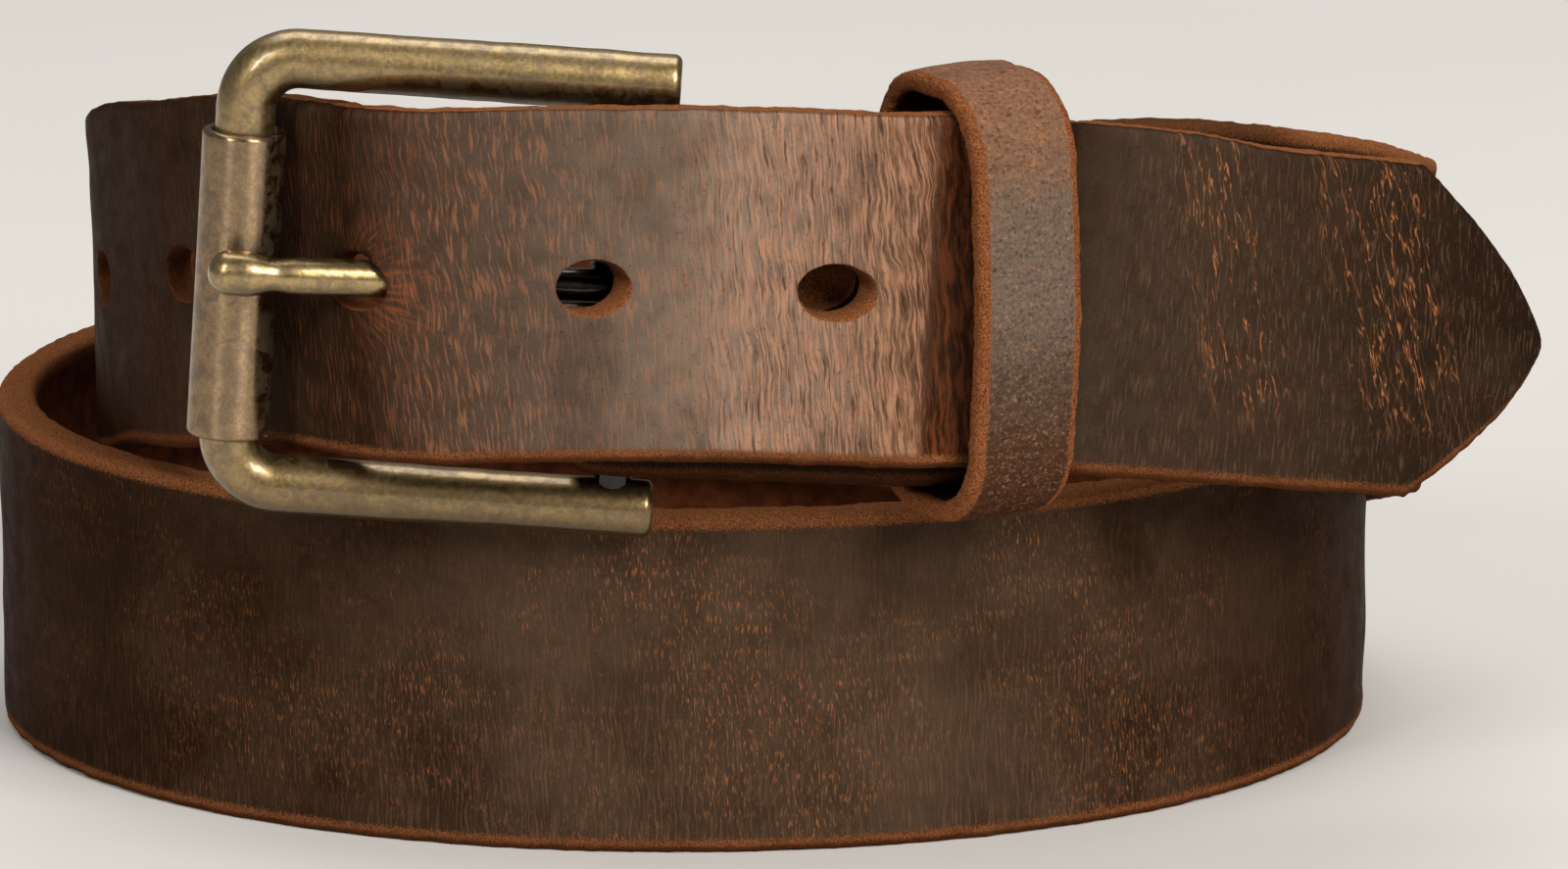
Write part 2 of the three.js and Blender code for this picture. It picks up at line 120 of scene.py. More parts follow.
CAMERA_PITCH = math.radians(14)
CAMERA_DISTANCE = 0.9
CAMERA_TARGET = (0, 0, 47.2)     # in the route's coordinates
CAMERA_LENS = 191.8
LIGHT_TARGET = (0, -0.03, 0.05)
LIGHTS = (                       # name, place, size, watts, colour
    ("key", (0.88, -1.36, 1.17), (0.72, 0.96), 33.0, (1.0, 0.985, 0.96)),
    ("side", (-1.0, -1.36, 1.09), (0.29, 0.96), 12.0, (1.0, 1.0, 1.0)),
    ("top", (0.0, 0.58, 1.57), (1.44, 0.96), 12.8, (1.0, 1.0, 1.0)),
)


# ---------- the route of the strap

def half_turn(from_x, to_x, depth, height_at):
    """Points round the back half of the coil, or its front half when depth is negative."""
    points = []
    for i in range(HALF_TURN_POINTS):
        angle = math.pi * i / HALF_TURN_POINTS
        x = (from_x + to_x) / 2 + (from_x - to_x) / 2 * math.cos(angle)
        points.append((x, COIL_Y + depth * math.sin(angle), height_at(i / HALF_TURN_POINTS)))
    return points


def on_straight(distance, depth, height):
    """A point past the bend, where the strap runs straight: distance from the bend, depth behind."""
    x = BEND[0] + math.cos(TURN) * distance - math.sin(TURN) * depth
    y = BEND[1] + math.sin(TURN) * distance + math.cos(TURN) * depth
    return (x, y, height)


# The strap's middle line from its fold to its point: x, y and the height of the lower edge.
ROUTE = np.array([
    (-18.4, -6.9, 44.4), (-12.5, -6.7, 44.1), (-6, -5.7, 43.8), (1, -5.2, 43.5),
    (8, -5.2, 43.3), (12, -5.3, 43.2),
    on_straight(2.5, MAIN_BEHIND_TIP, 43.1), on_straight(8, MAIN_BEHIND_TIP, 42.9),
    on_straight(13.5, MAIN_BEHIND_TIP, 42.7), on_straight(18.5, MAIN_BEHIND_TIP, 42.5),
    (37.6, 8.3, 41.7), (47.2, 16.6, 39.2), (58.4, 28.6, 35.2), (66.2, 42, 30.4), (70.3, 53, 27.2),
    *half_turn(71.3, -88.2, 63, lambda t: 24.9 * (1 - t) ** 2.7),
    *half_turn(-88.2, 65.05, -59.85, lambda t: 0),
    *half_turn(65.05, -76.4, 57, lambda t: 31.2 * t ** 1.15),
    (-76.4, 56, 32.2), (-75.6, 47, 33.6), (-73.8, 38, 35.9), (-70.4, 28, 39.2),
    (-65.4, 17.5, 41.5), (-59.6, 9, 43.9), (-53.6, 2.7, 45.6), (-48, -3, 46.2),
    (-43, -8.4, 46.7), (-37.4, -12.4, 47.3), (-29, -13.3, 47.7), (-17, -12.2, 47.6),
    (-4, -11.5, 47.3), (6, -11.4, 46.9), (12.2, -11.5, 46.7),
    on_straight(2, 0, 46.3), on_straight(8, 0, 45.2), on_straight(13.5, 0, 44.2),
    on_straight(TIP_HINGE, 0, 43.2), on_straight(36, 0, 40.2), on_straight(50, 0, 37.6),
    on_straight(64, 0, 35), on_straight(TIP_HINGE + TIP_LENGTH, 0, 32.2),
], dtype=float)
OFFSET = np.array(HEEL) / MM - np.array(HEEL_DRAWN)    # from the route's coordinates to the row frame


def catmull_rom(points, per_span=40):
    """A dense centripetal Catmull-Rom line through the points."""
    padded = np.vstack([2 * points[0] - points[1], points, 2 * points[-1] - points[-2]])
    share = np.linspace(0, 1, per_span, endpoint=False)[:, None]
    line = []
    for p0, p1, p2, p3 in zip(padded, padded[1:], padded[2:], padded[3:]):
        d0, d1, d2 = (math.sqrt(np.linalg.norm(b - a)) for a, b in ((p0, p1), (p1, p2), (p2, p3)))
        start = ((p1 - p0) / d0 - (p2 - p0) / (d0 + d1) + (p2 - p1) / d1) * d1
        end = ((p2 - p1) / d1 - (p3 - p1) / (d1 + d2) + (p3 - p2) / d2) * d1
        square = -3 * p1 + 3 * p2 - 2 * start - end
        cube = 2 * p1 - 2 * p2 + start + end
        line.append(p1 + start * share + square * share ** 2 + cube * share ** 3)
    return np.vstack(line + [points[-1:]])


def unit(vectors):
    return vectors / np.linalg.norm(vectors, axis=-1, keepdims=True)


def smoothstep(value, low, high):
    share = np.clip((np.asarray(value, dtype=float) - low) / (high - low), 0, 1)
    return share * share * (3 - 2 * share)


def mixed(low, high, share):
    return low + (high - low) * share


LINE = catmull_rom(ROUTE)
LINE_DISTANCE = np.concatenate([[0], np.cumsum(np.linalg.norm(np.diff(LINE, axis=0), axis=1))])
LINE_FORWARD = unit(np.gradient(LINE, LINE_DISTANCE, axis=0))
STRAP_LENGTH = LINE_DISTANCE[-1]
HINGE_STATION = STRAP_LENGTH - TIP_LENGTH
BEND_STATION = HINGE_STATION - TIP_HINGE
PRONG_HOLE_STATION = BEND_STATION - PRONG_BEFORE_BEND
SPLIT_STATION = BEND_STATION + 9.0        # where strap and free end meet, hidden in the keeper


def along_line(table, distance):
    return np.stack([np.interp(distance, LINE_DISTANCE, table[:, i]) for i in range(3)], axis=-1)


def stations(distance):
    """Foot, across (up the strap's width) and outward directions at distances along the strap."""
    distance = np.atleast_1d(np.asarray(distance, dtype=float))
    foot = along_line(LINE, distance)
    forward = unit(along_line(LINE_FORWARD, distance))
    grounded = foot[:, 2] <= 0
    foot[grounded, 2] = 0
    forward[grounded, 2] = 0
    forward = unit(forward)
    free = smoothstep(distance, HINGE_STATION - 2, HINGE_STATION + 25)[:, None]
    up = np.array([0.0, 0.0, 1.0])
    across = unit(up - (1 - free) * forward[:, 2:3] * forward)
    lean = TIP_LEAN * free
    across = across * np.cos(lean) + np.cross(forward, across) * np.sin(lean)
    outward = unit(np.cross(forward, across))
    return foot, across, outward


def to_row(points):
    """From route millimetres to row-frame metres."""
    return (np.asarray(points) + OFFSET) * MM


# ---------- meshes

def new_object(name, vertices, faces, uv_layers=None, smooth=True):
    """A mesh object; uv_layers maps a layer's name to one (u, v) per vertex."""
    mesh = bpy.data.meshes.new(name)
    mesh.from_pydata([tuple(v) for v in vertices], [], faces)
    for layer_name, values in (uv_layers or {}).items():
        layer = mesh.uv_layers.new(name=layer_name)
        corners = np.empty(len(mesh.loops), dtype=np.int32)
        mesh.loops.foreach_get("vertex_index", corners)
        layer.data.foreach_set("uv", np.asarray(values, dtype=np.float32)[corners].ravel())
    mesh.validate()
    cleaner = bmesh.new()
    cleaner.from_mesh(mesh)
    bmesh.ops.recalc_face_normals(cleaner, faces=cleaner.faces)
    cleaner.to_mesh(mesh)
    cleaner.free()
    if smooth:
        mesh.shade_smooth()
    piece = bpy.data.objects.new(name, mesh)
    bpy.context.scene.collection.objects.link(piece)
    return piece


def loft_faces(ring_count, corners, closed=False):
    """Quads between rings, which close on themselves or end in a fan to a centre vertex."""
    faces = []
    for i in range(ring_count if closed else ring_count - 1):
        here = i * corners
        there = ((i + 1) % ring_count) * corners
        for j in range(corners):
            k = (j + 1) % corners
            faces.append((here + j, here + k, there + k, there + j))
    if not closed:
        first, last = ring_count * corners, ring_count * corners + 1
        tail = (ring_count - 1) * corners
        for j in range(corners):
            k = (j + 1) % corners
            faces.append((first, k, j))
            faces.append((last, tail + j, tail + k))
    return faces


def apply_modifiers(piece):
    depsgraph = bpy.context.evaluated_depsgraph_get()
    mesh = bpy.data.meshes.new_from_object(piece.evaluated_get(depsgraph), depsgraph=depsgraph)
    piece.modifiers.clear()
    old = piece.data
    piece.data = mesh
    bpy.data.meshes.remove(old)


def cut(piece, cutter, operation="DIFFERENCE"):
    """Cuts (or joins) a closed mesh with another one, which is then deleted."""
    modifier = piece.modifiers.new("cut", "BOOLEAN")
    modifier.operation = operation
    modifier.solver = "MANIFOLD"
    modifier.object = cutter
    apply_modifiers(piece)
    bpy.data.objects.remove(cutter)


def merged(pieces):
    """One object from several that don't touch."""
    with bpy.context.temp_override(active_object=pieces[0], object=pieces[0],
                                   selected_editable_objects=pieces, selected_objects=pieces):
        bpy.ops.object.join()
    return pieces[0]


def fractal(point, scale, octaves=2):
    """Signed noise of about unit size, with features of the given size."""
    total, weight = 0.0, 1.0
    place = Vector(point) / scale
    for _ in range(octaves):
        total += weight * noise.noise(place)
        place = place * 2.03
        weight *= 0.5
    return total


# ---------- leather bands

class Section:
    """The outline of a strap section, as shares of its width, thickness and arris radius."""

    def __init__(self, face_points=26, arc_points=4, edge_points=4):
        rows = []

        def arc(turn, wide, deep):
            for i in range(1, arc_points):
                angle = math.pi / 2 * (turn + i / arc_points)
                height = math.sin(angle) + (1 if wide == 0 else -1)
                rows.append((wide, height, deep, math.cos(angle) - deep, 1, (1 - deep) / 2))

        for i in range(face_points + 1):
            share = i / face_points
            rows.append((share, 1 - 2 * share, 1, 0, 0, 0))
        arc(0, 1, 1)
        for i in range(edge_points + 1):
            share = i / edge_points
            rows.append((1, 0, 1 - 2 * share, 2 * share - 1, 1, share))
        arc(1, 1, -1)
        for i in range(face_points + 1):
            share = i / face_points
            rows.append((1 - share, 2 * share - 1, -1, 0, 0, 1))
        arc(2, 0, -1)
        for i in range(edge_points + 1):
            share = i / edge_points
            rows.append((0, 0, 2 * share - 1, 1 - 2 * share, 1, 1 - share))
        arc(3, 0, 1)
        table = np.array(rows)
        self.wide, self.wide_arris, self.deep, self.deep_arris, self.edge, self.flesh = table.T
        self.corners = len(table)


SECTION = Section()
EDGE_FADE = 0.45
CREASE_FROM = -2.6               # where the crease begins, before the bend; just after it the strap is painted dark as shade
ROLLED_OVER = 1.5                # how far the grain runs over the top edge of the upper strap
UPPER_FROM = 700                 # where along the strap that starts


def band(name, foot, across, outward, low, high, thickness, distance, arris=ARRIS, relief=None):
    """A closed leather band through stations, with a strap layer (distance, height) and a wear layer
    (raw edge, flesh side)."""
    count = len(foot)
    low, high, thickness, arris = (np.broadcast_to(v, count)[:, None] for v in (low, high, thickness, arris))
    s = SECTION
    height = mixed(low, high, s.wide) + arris * s.wide_arris
    depth = s.deep * thickness / 2 + arris * s.deep_arris
    inside = np.minimum(height - low, high - height) - arris
    edge = np.where(s.edge > 0.5, 1.0, np.clip(1 - inside / EDGE_FADE, 0, 1))
    upper = smoothstep(distance, UPPER_FROM, UPPER_FROM + 40)[:, None] * (s.wide > 0.5)
    rolled = upper * smoothstep(depth, thickness / 2 - ROLLED_OVER, thickness / 2 - ROLLED_OVER + 0.5)
    colored = edge * (1 - rolled)
    flesh = np.broadcast_to(s.flesh, edge.shape)
    points = foot[:, None] + across[:, None] * height[..., None] + outward[:, None] * depth[..., None]
    strap_uv = np.stack([np.broadcast_to(np.asarray(distance)[:, None], height.shape), height], axis=-1)

    up_share = np.where(s.edge > 0.5, np.sign(s.wide - 0.5), 0.0)
    out_share = np.clip(depth / (thickness / 2), -1, 1)
    push = np.zeros(height.shape + (3,))
    for i in range(count):
        for j in range(s.corners):
            at = (strap_uv[i, j, 0], height[i, j], depth[i, j])
            rough = 0.12 * fractal(at, 2.6) + 0.11 * fractal(at, 0.9)
            swell = 0.22 * fractal((at[0], at[1], 7.0 * s.flesh[j]), 11)
            if relief:
                swell += relief(at[0], at[1], s.flesh[j])
            push[i, j] = across[i] * (up_share[j] * edge[i, j] * rough)
            pushed_out = swell * (1 - edge[i, j]) + 0.5 * rough * edge[i, j]
            push[i, j] += outward[i] * (out_share[i, j] * pushed_out)
    points = points + push

    caps = np.stack([points[0].mean(axis=0), points[-1].mean(axis=0)])
    vertices = to_row(np.vstack([points.reshape(-1, 3), caps]))
    strap_layer = np.vstack([strap_uv.reshape(-1, 2), strap_uv[0].mean(axis=0), strap_uv[-1].mean(axis=0)])
    wear_layer = np.vstack([np.stack([colored, flesh], axis=-1).reshape(-1, 2), RAW_WEAR, RAW_WEAR])
    faces = loft_faces(count, s.corners)
    return new_object(name, vertices, faces, {"strap": strap_layer * MM, "wear": wear_layer})


def evenly(start, end):
    return np.linspace(start, end, max(2, int(round(abs(end - start) / ROW_STEP)) + 1))


def raw_inside(cutter, distance, height):
    """Gives a cutter the layers of the leather, so that what it cuts shows raw leather."""
    for name, value in (("strap", (distance * MM, height * MM)), ("wear", RAW_WEAR)):
        layer = cutter.data.uv_layers.new(name=name)
        layer.data.foreach_set("uv", np.tile(value, len(cutter.data.loops)).astype(np.float32))
    return cutter


def oval_punch(distance, height, length, tall, back, front, flare=0.35, ragged=0.10, slant=0.36, seed=0):
    """A closed oval plug through the strap, slightly wider where it leaves each face. A slanted one has
    its far end nearer the buckle."""
    foot, across, outward = (v[0] for v in stations(distance))
    forward = np.cross(across, outward)
    sides = 40
    thick = STRAP_THICKNESS / 2
    depths = [back, -thick - 0.3, -thick, -thick + 0.35, -thick + 0.9, 0,
              thick - 0.9, thick - 0.35, thick, thick + 0.3, front]
    widening = [flare + 0.3, flare + 0.3, flare, 0.45 * flare, 0]
    flares = widening + [0] + widening[::-1]
    points = []
    for depth, more in zip(depths, flares):
        for i in range(sides):
            angle = 2 * math.pi * i / sides
            wobble = ragged * fractal((3 * math.cos(angle), 3 * math.sin(angle), depth + 10 * seed), 1.0)
            x = (length / 2 + more + wobble) * math.cos(angle)
            z = (tall / 2 + more + wobble) * math.sin(angle)
            x += slant * (depth - thick)
            points.append(foot + across * (height + z) + forward * x + outward * depth)
    ends = [np.mean(points[:sides], axis=0), np.mean(points[-sides:], axis=0)]
    punch = new_object("punch", to_row(np.array(points + ends)), loft_faces(len(depths), sides))
    return raw_inside(punch, distance, height)


# ---------- rods and turned pieces

def buckle_point(x, y, z):
    """From the buckle's own millimetres to the row frame."""
    turned = Matrix.Rotation(BUCKLE_TILT, 3, "Y") @ Vector((x, y, z))
    return np.array(HEEL + turned * MM)


def swept_rod(name, line, radii, end_round, sides):
    """A round rod along a line of buckle points (mm), with the given radii. Its ends are rounded over by
    end_round, which makes a ball end when it is the whole radius."""
    line = np.asarray(line, dtype=float)
    forward = unit(np.gradient(line, axis=0))
    side = np.array([0.0, 1.0, 0.0])
    across = unit(np.cross(side, forward))
    flat = np.cross(forward, across)
    rings = []
    plan = [(line[i], i, radii[i]) for i in range(len(line))]
    for angle in np.linspace(0, math.pi / 2, 8)[1:]:
        past, drop = end_round * math.sin(angle), end_round * (1 - math.cos(angle))
        plan.insert(0, (line[0] - forward[0] * past, 0, max(0.15, radii[0] - drop)))
        plan.append((line[-1] + forward[-1] * past, len(line) - 1, max(0.15, radii[-1] - drop)))
    for centre, i, radius in plan:
        for j in range(sides):
            angle = 2 * math.pi * j / sides
            rings.append(centre + flat[i] * radius * math.cos(angle) - across[i] * radius * math.sin(angle))
    ends = [np.mean(rings[:sides], axis=0), np.mean(rings[-sides:], axis=0)]
    vertices = [buckle_point(*p) for p in rings + ends]
    return new_object(name, vertices, loft_faces(len(plan), sides))


def turned(name, profile, x, z, sides, closed=False):
    """A piece turned about an upright line of the buckle at x, from a profile of (radius, height). A closed
    profile makes a ring; an open one is capped at both ends."""
    vertices = []
    for radius, height in profile:
        for j in range(sides):
            angle = 2 * math.pi * j / sides
            vertices.append(buckle_point(x + radius * math.cos(angle), radius * math.sin(angle), z + height))
    if not closed:
        vertices += [buckle_point(x, 0, z + profile[end][1]) for end in (0, -1)]
    return new_object(name, vertices, loft_faces(len(profile), sides, closed))


# ---------- material graphs

def srgb(red, green, blue):
    """A colour given as it looks on screen, 0 to 255, as linear light."""
    return tuple(((c / 255) / 12.92 if c <= 10 else ((c / 255 + 0.055) / 1.055) ** 2.4)
                 for c in (red, green, blue)) + (1.0,)


class Graph:
    """Builds one node material; values may be numbers, colours or other nodes' outputs."""

    def __init__(self, name):
        self.material = bpy.data.materials.new(name)
        self.material.use_nodes = True
        self.tree = self.material.node_tree
        self.tree.nodes.clear()
        output = self.node("ShaderNodeOutputMaterial")
        self.shader = self.node("ShaderNodeBsdfPrincipled")
        self.tree.links.new(self.shader.outputs[0], output.inputs["Surface"])

    def node(self, kind, **settings):
        made = self.tree.nodes.new(kind)
        for key, value in settings.items():
            setattr(made, key, value)
        return made

    def feed(self, socket, value):
        if isinstance(value, bpy.types.NodeSocket):
            self.tree.links.new(value, socket)
        else:
            socket.default_value = value

    def math(self, operation, *values, clamp=False):
        made = self.node("ShaderNodeMath", operation=operation, use_clamp=clamp)
        for socket, value in zip(made.inputs, values):
            self.feed(socket, value)
        return made.outputs[0]

    def step(self, value, low, high, to_low=0.0, to_high=1.0):
        made = self.node("ShaderNodeMapRange", interpolation_type="SMOOTHSTEP")
        for name, given in (("Value", value), ("From Min", low), ("From Max", high),
                            ("To Min", to_low), ("To Max", to_high)):
            self.feed(made.inputs[name], given)
        return made.outputs[0]

    def window(self, value, start, end, soft):
        """1 between start and end, with soft shoulders."""
        rise = self.step(value, start - soft, start + soft)
        fall = self.step(value, end - soft, end + soft, 1.0, 0.0)
        return self.times(rise, fall)

    def times(self, *values):
        result = values[0]
        for value in values[1:]:
            result = self.math("MULTIPLY", result, value)
        return result

    def plus(self, *values):
        result = values[0]
        for value in values[1:]:
            result = self.math("ADD", result, value)
        return result

    def less(self, value, taken):
        return self.math("SUBTRACT", value, taken)

    def ratio(self, value, unit_size):
        return self.math("DIVIDE", value, unit_size)

    def mix(self, share, low, high):
        """A colour between two others."""
        made = self.node("ShaderNodeMix", data_type="RGBA")
        self.feed(made.inputs[0], share)
        self.feed(made.inputs[6], low)
        self.feed(made.inputs[7], high)
        return made.outputs[2]

    def blend(self, share, low, high):
        """A number between two others."""
        made = self.node("ShaderNodeMix", data_type="FLOAT")
        for socket, value in zip((made.inputs[0], made.inputs[2], made.inputs[3]), (share, low, high)):
            self.feed(socket, value)
        return made.outputs[0]

    def ramp(self, value, low, high, stops):
        """A colour that changes with a value, through stops of (value, colour)."""
        made = self.node("ShaderNodeValToRGB")
        self.feed(made.inputs[0], self.ratio(self.less(value, low), high - low))
        elements = made.color_ramp.elements
        while len(elements) < len(stops):
            elements.new(0.5)
        for element, (at, color) in zip(elements, stops):
            element.position = (at - low) / (high - low)
            element.color = color
        return made.outputs[0]

    def vector(self, x, y, z=0.0):
        made = self.node("ShaderNodeCombineXYZ")
        for socket, value in zip(made.inputs, (x, y, z)):
            self.feed(socket, value)
        return made.outputs[0]

    def noise(self, vector, scale=1.0, detail=3.0, roughness=0.55, distortion=0.0):
        made = self.node("ShaderNodeTexNoise")
        self.feed(made.inputs["Vector"], vector)
        self.feed(made.inputs["Scale"], scale)
        self.feed(made.inputs["Detail"], detail)
        self.feed(made.inputs["Roughness"], roughness)
        self.feed(made.inputs["Distortion"], distortion)
        return made.outputs["Fac"]

    def cells(self, vector, scale):
        made = self.node("ShaderNodeTexVoronoi", feature="SMOOTH_F1")
        self.feed(made.inputs["Vector"], vector)
        self.feed(made.inputs["Scale"], scale)
        return made.outputs["Distance"]

    def place(self):
        """The point in the row frame, in millimetres."""
        made = self.node("ShaderNodeVectorMath", operation="SCALE")
        self.feed(made.inputs[0], self.node("ShaderNodeTexCoord").outputs["Object"])
        made.inputs["Scale"].default_value = 1 / MM
        return made.outputs[0]

    def parts(self, vector):
        made = self.node("ShaderNodeSeparateXYZ")
        self.feed(made.inputs[0], vector)
        return made.outputs

    def layer(self, name, scale=1.0):
        """The two values of a UV layer."""
        x, y, _ = self.parts(self.node("ShaderNodeUVMap", uv_map=name).outputs[0])
        if scale == 1.0:
            return x, y
        return self.times(x, scale), self.times(y, scale)

    def bump(self, height, distance):
        made = self.node("ShaderNodeBump")
        self.feed(made.inputs["Height"], height)
        made.inputs["Distance"].default_value = distance
        made.inputs["Strength"].default_value = 1.0
        return made.outputs[0]

    def finish(self, color, roughness, normal, **constants):
        self.feed(self.shader.inputs["Base Color"], color)
        self.feed(self.shader.inputs["Roughness"], roughness)
        self.feed(self.shader.inputs["Normal"], normal)
        for name, value in constants.items():
            self.feed(self.shader.inputs[name.replace("_", " ")], value)
        return self.material


def strap_leather():
    """Pull-up leather: dark oily brown, paler towards the bend (partly rubbed, partly a painted sheen) and
    painted dark as shade just past it, with tan striations across it.
    """
    g = Graph("strap_leather")
    s, h = g.layer("strap", 1 / MM)
    edge, flesh = g.layer("wear")
    place = g.place()
    from_bend = g.less(s, BEND_STATION)

    waver = g.noise(g.vector(g.ratio(s, 5.0), g.ratio(h, 7.0), 2.0), 1.0, 3.0, 0.55)
    waver = g.times(g.less(waver, 0.5), 1.7)

    def streaks(width, length, tilt, seed, low, high, detail=3.0):
        """Streaks that run up the strap; a positive tilt leans their tops towards the buckle."""
        shifted = g.plus(s, g.times(h, tilt), waver)
        vector = g.vector(g.ratio(shifted, width), g.ratio(h, length), seed)
        return g.step(g.noise(vector, 1.0, detail, 0.6), low, high)

    cloud = g.noise(g.vector(s, h, 3.0), 0.055, 3.0, 0.6)
    mottle = g.noise(g.vector(s, h, 9.0), 0.35, 4.0, 0.65)
    pores = g.noise(place, 2.6, 3.0, 0.65)

    # Tone along the strap: the pale grey stretch before the bend is partly rubbed leather and partly a
    # painted sheen; the dark stripe just past the bend is painted shade where the strap turns in under the
    # keeper.
    wear_sheen_and_shade = g.ramp(from_bend, -66, 80, [
        (-66, srgb(40, 26, 16)), (-61, srgb(44, 29, 18)), (-55, srgb(70, 54, 43)),
        (-45, srgb(83, 68, 57)), (-32, srgb(108, 92, 79)), (-22, srgb(128, 109, 95)),
        (-10, srgb(120, 97, 81)), (-5, srgb(106, 78, 60)),
        (-3, srgb(88, 58, 40)), (-2.2, srgb(52, 26, 13)), (5, srgb(42, 21, 11)), (16, srgb(66, 52, 41)),
        (40, srgb(56, 42, 31)), (60, srgb(44, 31, 22)), (80, srgb(32, 21, 13)),
    ])
    plain = g.mix(g.step(cloud, 0.35, 0.65), srgb(44, 30, 20), srgb(66, 50, 38))
    front = g.step(from_bend, -70, -60)
    color = g.mix(front, plain, wear_sheen_and_shade)
    dark_patch = g.times(front, g.step(cloud, 0.52, 0.36), 0.45)
    color = g.mix(dark_patch, color, srgb(62, 46, 36))
    color = g.mix(g.step(mottle, 0.40, 0.68, 0.0, 0.22), color, srgb(20, 11, 6))

    near_bend = g.times(g.step(from_bend, -31, -19), g.step(from_bend, CREASE_FROM, CREASE_FROM - 1))
    middle = g.window(from_bend, -58, -2, 5.0)
    patches = g.step(cloud, 0.34, 0.58, 0.35, 1.0)
    dense = g.times(near_bend, streaks(0.27, 5.0, 0.11, 1.0, 0.42, 0.62))
    color = g.mix(g.times(dense, 0.60), color, srgb(188, 138, 108))
    sparse = g.times(middle, patches, streaks(0.28, 3.6, 0.08, 5.0, 0.48, 0.66))
    color = g.mix(g.times(sparse, 0.44), color, srgb(166, 108, 74))
    crease = g.window(from_bend, CREASE_FROM + 0.4, 8, 0.8)
    color = g.mix(g.times(crease, 0.55, streaks(0.5, 5.0, 0.1, 2.0, 0.42, 0.6)), color, srgb(122, 66, 36))

    # Rays of strain out of the prong's hole, and streaks on both sides of it.
    from_hole = g.less(s, PRONG_HOLE_STATION + HOLE_LENGTH / 2)
    above_hole = g.less(h, STRAP_WIDTH / 2)
    angle = g.math("ARCTAN2", above_hole, g.plus(from_hole, 5.0))
    reach = g.math("SQRT", g.plus(g.math("POWER", from_hole, 2.0), g.math("POWER", above_hole, 2.0)))
    rays = g.noise(g.vector(g.times(angle, 17.0), g.ratio(reach, 2.6), 4.0), 1.0, 4.0, 0.7)
    rays = g.times(g.step(rays, 0.44, 0.66), g.step(reach, 9.5, 2.5), g.step(from_hole, -5.0, 1.0))
    color = g.mix(g.times(rays, 0.7), color, srgb(140, 78, 46))
    hole_side = g.window(from_bend, -74, -52, 5.0)
    rust = g.times(hole_side, streaks(0.30, 4.0, 0.04, 14.0, 0.50, 0.68))
    color = g.mix(g.times(rust, 0.45), color, srgb(124, 70, 42))
    turned_away = g.window(from_bend, -112, -76, 6.0)
    faint = g.times(turned_away, streaks(0.30, 6.0, 0.0, 19.0, 0.50, 0.68))
    color = g.mix(g.times(faint, 0.35), color, srgb(104, 70, 48))

    # The lower turn: flecks and fibres.
    elsewhere = g.step(from_bend, -78, -95)
    patchy = g.step(g.noise(g.vector(s, h, 21.0), 0.05, 3.0, 0.65), 0.40, 0.62, 0.10, 1.0)
    flecks = g.times(elsewhere, patchy, streaks(0.20, 1.3, 0.05, 7.0, 0.54, 0.66, 4.0))
    color = g.mix(g.times(flecks, 0.8), color, srgb(156, 94, 54))
    fibres = g.times(elsewhere, streaks(0.26, 5.0, 0.03, 17.0, 0.48, 0.66), g.step(h, 34, 4, 0.35, 1.0))
    color = g.mix(g.times(fibres, 0.32), color, srgb(122, 88, 62))

    # The free end: two leaning bundles of hairlines.
    tip = g.step(from_bend, 12, 20)
    leaning = g.plus(from_bend, g.times(h, 0.33))
    wander = g.noise(g.vector(g.ratio(g.plus(leaning, waver), 1.7), g.ratio(h, 15.0), 11.0),
                     1.0, 3.0, 0.62)
    hairline = g.math("ABSOLUTE", g.less(wander, 0.5))
    bundles = g.plus(g.window(leaning, 36, 46, 4.0), g.window(leaning, 57, 70, 3.0))
    broken = g.step(g.noise(g.vector(s, h, 31.0), 0.3, 3.0, 0.6), 0.36, 0.46)
    hairline = g.times(g.step(hairline, 0.014, 0.003), bundles, g.step(h, 5.0, 13.0), broken)
    color = g.mix(g.times(hairline, 0.8), color, srgb(178, 112, 70))
    color = g.mix(g.times(tip, 0.35, streaks(0.30, 3.0, 0.0, 15.0, 0.52, 0.66)), color, srgb(110, 84, 62))
    cracks = g.times(g.plus(near_bend, crease), streaks(0.34, 4.5, 0.12, 8.0, 0.57, 0.68))
    color = g.mix(g.math("MULTIPLY", cracks, 0.62, clamp=True), color, srgb(48, 30, 20))
    color = g.mix(g.step(pores, 0.60, 0.76, 0.0, 0.35), color, srgb(118, 82, 56))
    color = g.mix(g.step(pores, 0.42, 0.28, 0.0, 0.45), color, srgb(18, 10, 6))

    # Painted shade and sheen: the lower turn is painted darker towards its flanks and a little lighter in its
    # middle as a painted sheen, and all of the strap is painted darker as shade where it turns away from the
    # viewer.
    x, _, _ = g.parts(place)
    flank_shade = g.step(g.math("ABSOLUTE", g.less(x, 2.0)), 22, 62, 0.0, 0.45)
    color = g.mix(g.times(elsewhere, flank_shade), color, srgb(34, 18, 8))
    color = g.mix(g.times(elsewhere, g.step(flank_shade, 0.2, 0.0), 0.10), color, srgb(120, 98, 78))
    # Painted shade: the strap is painted darker where its surface turns away from the viewer.
    facing = g.node("ShaderNodeLayerWeight").outputs["Facing"]
    color = g.mix(g.step(facing, 0.30, 0.85, 0.0, 0.70), color, srgb(40, 20, 8))

    inner = g.mix(g.step(mottle, 0.3, 0.7), srgb(66, 33, 18), srgb(98, 54, 32))
    color = g.mix(flesh, color, inner)

